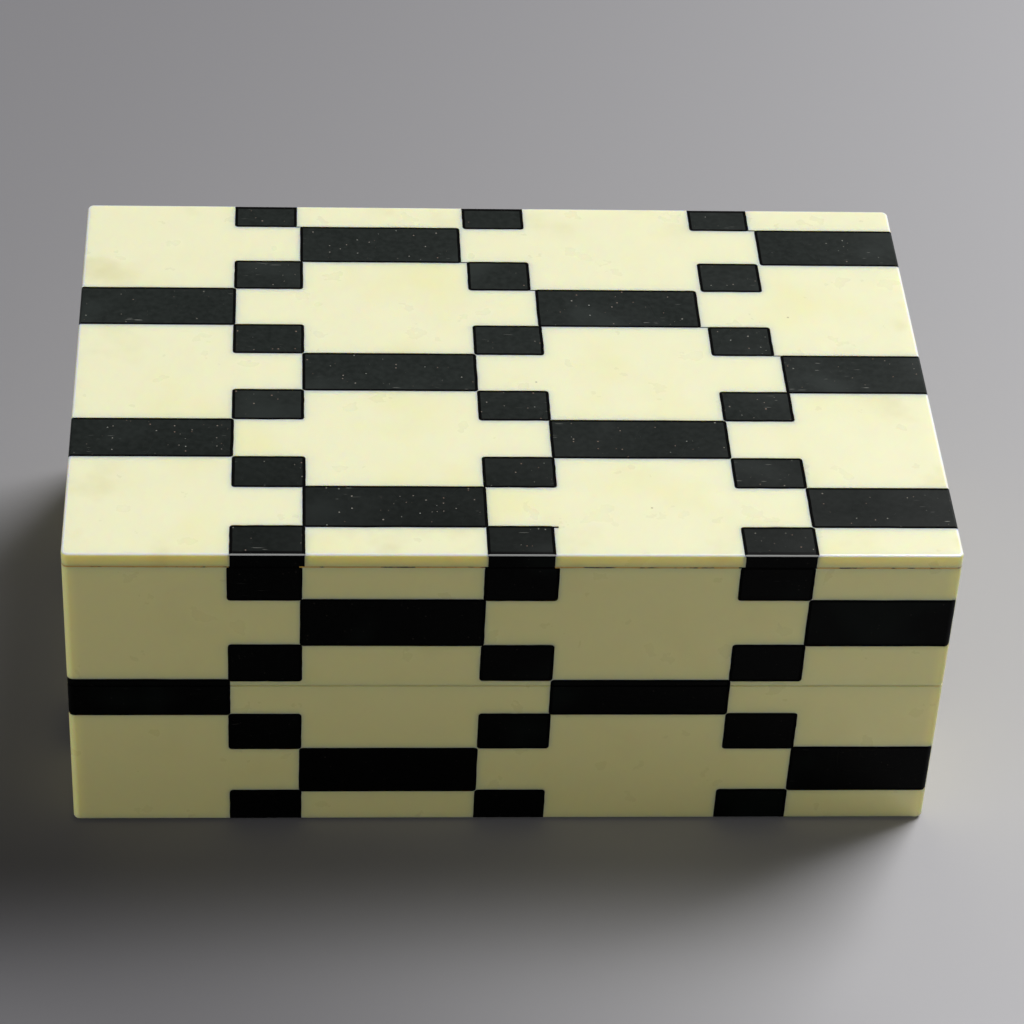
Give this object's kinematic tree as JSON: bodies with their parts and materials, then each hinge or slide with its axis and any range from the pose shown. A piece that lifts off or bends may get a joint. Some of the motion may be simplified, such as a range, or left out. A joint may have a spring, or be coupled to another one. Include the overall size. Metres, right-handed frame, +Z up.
{
  "type": "hinged inlay box",
  "caption": "Rectangular hinged box: wooden carcass faced with polished cream sheets let in with black rectangles, on two small brass butt hinges.",
  "frame": {"origin": "middle of the footprint, on the surface that the box stands on", "axes": "+X along the box's length to its right, -Y out of the front, +Z up out of the lid"},
  "size_m": [0.152, 0.102, 0.062],
  "materials": {
    "carcass_wood": "satin",
    "cream_sheet": "polished",
    "black_inlay": "satin",
    "lining_velvet": "matte",
    "underside_felt": "matte",
    "hinge_brass": "satin"
  },
  "bodies": {
    "base": {"base_floor_board": "carcass_wood", "base_front_wall": "carcass_wood", "base_back_wall": "carcass_wood", "base_left_wall": "carcass_wood", "base_right_wall": "carcass_wood", "base_front_sheet": "cream_sheet", "base_back_sheet": "cream_sheet", "base_left_sheet": "cream_sheet", "base_right_sheet": "cream_sheet", "base_front_inlay": "black_inlay", "base_back_inlay": "black_inlay", "base_left_inlay": "black_inlay", "base_right_inlay": "black_inlay", "base_lining": "lining_velvet", "base_felt": "underside_felt", "hinge_left_base_leaf": "hinge_brass", "hinge_left_base_screw_1": "hinge_brass", "hinge_left_base_screw_2": "hinge_brass", "hinge_left_pin": "hinge_brass", "hinge_right_base_leaf": "hinge_brass", "hinge_right_base_screw_1": "hinge_brass", "hinge_right_base_screw_2": "hinge_brass", "hinge_right_pin": "hinge_brass"},
    "lid": {"lid_top_board": "carcass_wood", "lid_front_wall": "carcass_wood", "lid_back_wall": "carcass_wood", "lid_left_wall": "carcass_wood", "lid_right_wall": "carcass_wood", "lid_top_sheet": "cream_sheet", "lid_front_sheet": "cream_sheet", "lid_back_sheet": "cream_sheet", "lid_left_sheet": "cream_sheet", "lid_right_sheet": "cream_sheet", "lid_top_inlay": "black_inlay", "lid_front_inlay": "black_inlay", "lid_back_inlay": "black_inlay", "lid_left_inlay": "black_inlay", "lid_right_inlay": "black_inlay", "lid_lining": "lining_velvet", "hinge_left_lid_leaf": "hinge_brass", "hinge_left_lid_screw_1": "hinge_brass", "hinge_left_lid_screw_2": "hinge_brass", "hinge_right_lid_leaf": "hinge_brass", "hinge_right_lid_screw_1": "hinge_brass", "hinge_right_lid_screw_2": "hinge_brass"}
  },
  "joints": [
    {"name": "lid_hinge", "type": "hinge", "parent": "base", "child": "lid", "pos_m": [0, 0.049, 0.03235], "axis": [-1, 0, 0], "range_deg": [0, 100]}
  ]
}
